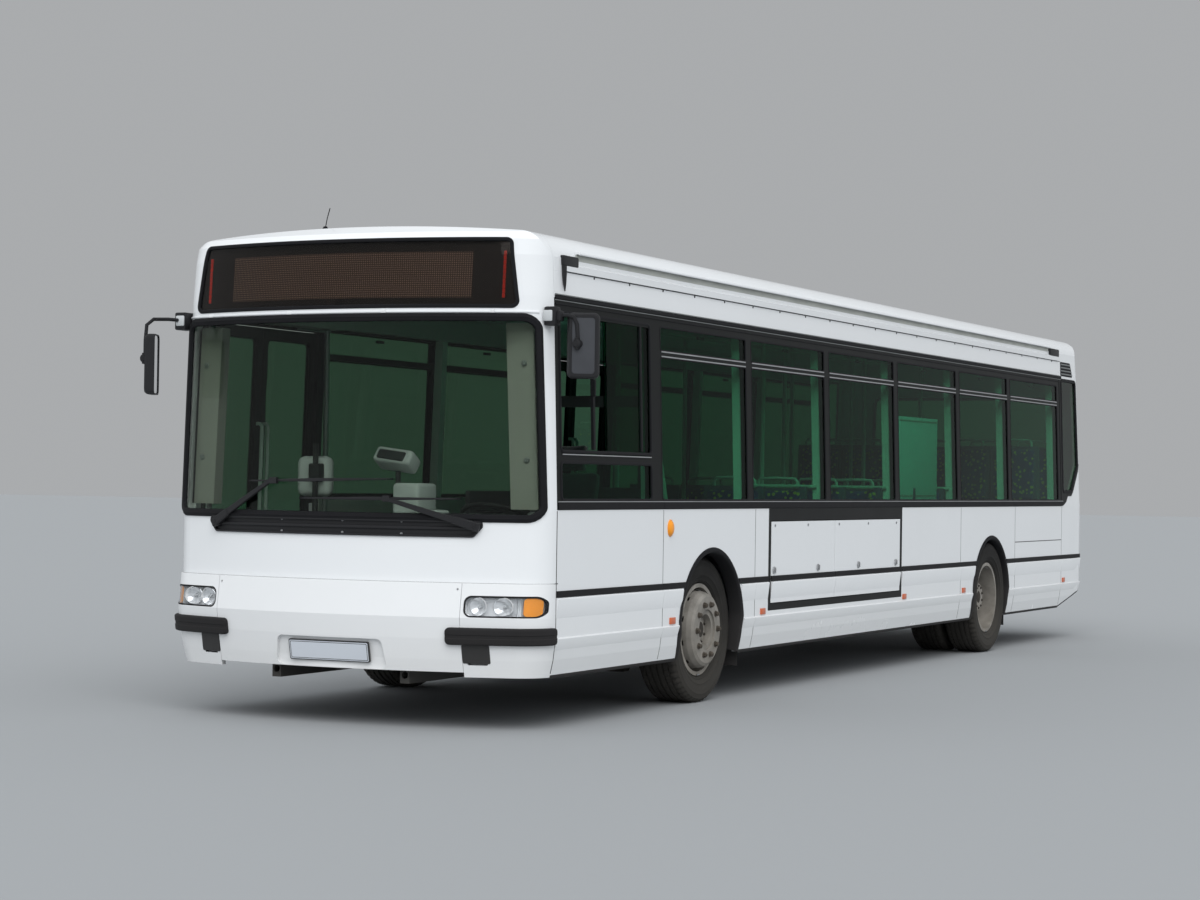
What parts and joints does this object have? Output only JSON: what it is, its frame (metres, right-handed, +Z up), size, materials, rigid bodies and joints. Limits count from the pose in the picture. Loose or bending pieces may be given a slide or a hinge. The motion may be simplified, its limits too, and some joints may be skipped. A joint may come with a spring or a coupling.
{
  "type": "low-floor city bus",
  "caption": "Two-axle low-floor city bus with inward-gliding double doors, a driver's cab, glazed body, steered front wheels, twin rear wheels, flaps and roof hatches.",
  "frame": {"origin": "on the ground below the middle of the plan", "axes": "+Z up, the front faces -Y, +X is the driver's side"},
  "size_m": [2.8237, 11.9855, 2.9243],
  "materials": {
    "white_paint": "gloss",
    "white_bumper": "satin",
    "black_plastic": "satin",
    "black_rubber": "matt",
    "black_frame": "satin",
    "clear_glass": "polished",
    "tinted_glass": "polished",
    "display": "polished",
    "lamp_lens": "polished",
    "rear_lens": "polished",
    "tyre_rubber": "matt",
    "wheel_steel": "worn",
    "frame_steel": "matt",
    "cast_steel": "rough",
    "floor_cover": "matt",
    "lining": "satin",
    "dash_plastic": "satin",
    "seat_cloth": "matt",
    "handrail": "satin",
    "gear_steel": "satin"
  },
  "bodies": {
    "body": {"front_mask": "white_paint", "windscreen": "clear_glass", "display_glass": "display", "wiper_cowl": "black_plastic", "front_bumper": "white_bumper", "front_corners": "white_bumper", "bumper_bars": "black_rubber", "headlamps": "lamp_lens", "side_panels_left": "white_paint", "side_panels_right": "white_paint", "service_frame": "black_frame", "window_frame_left": "black_frame", "window_frame_right": "black_frame", "side_windows_left": "tinted_glass", "side_windows_right": "tinted_glass", "cantrails": "white_paint", "roof": "white_paint", "rear_mask": "white_paint", "rear_window": "tinted_glass", "rear_lamps": "rear_lens", "chassis_frame": "frame_steel", "floor": "floor_cover", "wheel_boxes": "floor_cover", "front_axle": "cast_steel", "rear_axle": "cast_steel", "dashboard": "dash_plastic", "steering_wheel": "black_plastic", "driver_seat": "seat_cloth", "driver_partition": "dash_plastic", "passenger_seats": "seat_cloth", "handrails": "handrail", "engine": "cast_steel", "wipers": "black_plastic", "mirror_left": "black_plastic", "mirror_right": "black_plastic", "door_headers": "lining"},
    "knuckle_left": {"knuckle_left": "cast_steel"},
    "wheel_front_left": {"tyre_front_left": "tyre_rubber", "rim_front_left": "wheel_steel"},
    "wheel_rear_left": {"tyre_rear_left": "tyre_rubber", "rim_rear_left": "wheel_steel"},
    "knuckle_right": {"knuckle_right": "cast_steel"},
    "wheel_front_right": {"tyre_front_right": "tyre_rubber", "rim_front_right": "wheel_steel"},
    "wheel_rear_right": {"tyre_rear_right": "tyre_rubber", "rim_rear_right": "wheel_steel"},
    "door_post_front_a": {"door_post_front_a": "gear_steel"},
    "door_leaf_front_a": {"door_leaf_front_a": "black_frame"},
    "door_post_front_b": {"door_post_front_b": "gear_steel"},
    "door_leaf_front_b": {"door_leaf_front_b": "black_frame"},
    "door_post_middle_a": {"door_post_middle_a": "gear_steel"},
    "door_leaf_middle_a": {"door_leaf_middle_a": "black_frame"},
    "door_post_middle_b": {"door_post_middle_b": "gear_steel"},
    "door_leaf_middle_b": {"door_leaf_middle_b": "black_frame"},
    "engine_door": {"engine_door": "white_paint"},
    "service_flap_front": {"service_flap_front": "white_paint"},
    "service_flap_rear": {"service_flap_rear": "white_paint"},
    "roof_hatch_front": {"roof_hatch_front": "white_bumper"},
    "roof_hatch_rear": {"roof_hatch_rear": "white_bumper"}
  },
  "joints": [
    {"name": "steer_left", "type": "hinge", "parent": "body", "child": "knuckle_left", "pos_m": [0.93, -3.2975, 0.47], "axis": [0, 0, 1], "range_deg": [-45, 45]},
    {"name": "spin_front_left", "type": "hinge", "parent": "knuckle_left", "child": "wheel_front_left", "pos_m": [1.04, -3.2975, 0.47], "axis": [1, 0, 0], "continuous": true},
    {"name": "spin_rear_left", "type": "hinge", "parent": "body", "child": "wheel_rear_left", "pos_m": [0.95, 2.8225, 0.47], "axis": [1, 0, 0], "continuous": true},
    {"name": "steer_right", "type": "hinge", "parent": "body", "child": "knuckle_right", "pos_m": [-0.93, -3.2975, 0.47], "axis": [0, 0, 1], "range_deg": [-45, 45]},
    {"name": "spin_front_right", "type": "hinge", "parent": "knuckle_right", "child": "wheel_front_right", "pos_m": [-1.04, -3.2975, 0.47], "axis": [1, 0, 0], "continuous": true},
    {"name": "spin_rear_right", "type": "hinge", "parent": "body", "child": "wheel_rear_right", "pos_m": [-0.95, 2.8225, 0.47], "axis": [1, 0, 0], "continuous": true},
    {"name": "arm_front_a", "type": "hinge", "parent": "body", "child": "door_post_front_a", "pos_m": [-1.125, -5.524, 1.4], "axis": [0, 0, 1], "range_deg": [-62.13, 0]},
    {"name": "leaf_front_a", "type": "hinge", "parent": "door_post_front_a", "child": "door_leaf_front_a", "pos_m": [-1.148, -5.22, 1.4], "axis": [0, 0, 1], "range_deg": [0, 152.13]},
    {"name": "arm_front_b", "type": "hinge", "parent": "body", "child": "door_post_front_b", "pos_m": [-1.125, -4.2, 1.4], "axis": [0, 0, 1], "range_deg": [0, 62.13]},
    {"name": "leaf_front_b", "type": "hinge", "parent": "door_post_front_b", "child": "door_leaf_front_b", "pos_m": [-1.148, -4.504, 1.4], "axis": [0, 0, 1], "range_deg": [-152.13, 0]},
    {"name": "arm_middle_a", "type": "hinge", "parent": "body", "child": "door_post_middle_a", "pos_m": [-1.125, -1.092, 1.4], "axis": [0, 0, 1], "range_deg": [-62.13, 0]},
    {"name": "leaf_middle_a", "type": "hinge", "parent": "door_post_middle_a", "child": "door_leaf_middle_a", "pos_m": [-1.148, -0.788, 1.4], "axis": [0, 0, 1], "range_deg": [0, 152.13]},
    {"name": "arm_middle_b", "type": "hinge", "parent": "body", "child": "door_post_middle_b", "pos_m": [-1.125, 0.232, 1.4], "axis": [0, 0, 1], "range_deg": [0, 62.13]},
    {"name": "leaf_middle_b", "type": "hinge", "parent": "door_post_middle_b", "child": "door_leaf_middle_b", "pos_m": [-1.148, -0.072, 1.4], "axis": [0, 0, 1], "range_deg": [-152.13, 0]},
    {"name": "engine_door_lift", "type": "hinge", "parent": "body", "child": "engine_door", "pos_m": [0, 5.997, 1.29], "axis": [1, 0, 0], "range_deg": [0, 85]},
    {"name": "flap_front_lift", "type": "hinge", "parent": "body", "child": "service_flap_front", "pos_m": [1.252, -1, 1.162], "axis": [0, -1, 0], "range_deg": [0, 85]},
    {"name": "flap_rear_lift", "type": "hinge", "parent": "body", "child": "service_flap_rear", "pos_m": [1.252, -1, 1.162], "axis": [0, -1, 0], "range_deg": [0, 85]},
    {"name": "hatch_front_lift", "type": "hinge", "parent": "body", "child": "roof_hatch_front", "pos_m": [0, -2.698, 2.9023], "axis": [1, 0, 0], "range_deg": [0, 40]},
    {"name": "hatch_rear_lift", "type": "hinge", "parent": "body", "child": "roof_hatch_rear", "pos_m": [0, 1.102, 2.9023], "axis": [1, 0, 0], "range_deg": [0, 40]}
  ],
  "couplings": [
    {"joint": "steer_right", "follows": "steer_left", "ratio": 1},
    {"joint": "arm_front_a", "follows": "leaf_front_a", "ratio": -0.40842},
    {"joint": "leaf_front_b", "follows": "leaf_front_a", "ratio": -1},
    {"joint": "arm_front_b", "follows": "leaf_front_a", "ratio": 0.40842},
    {"joint": "arm_middle_a", "follows": "leaf_middle_a", "ratio": -0.40842},
    {"joint": "leaf_middle_b", "follows": "leaf_middle_a", "ratio": -1},
    {"joint": "arm_middle_b", "follows": "leaf_middle_a", "ratio": 0.40842}
  ]
}
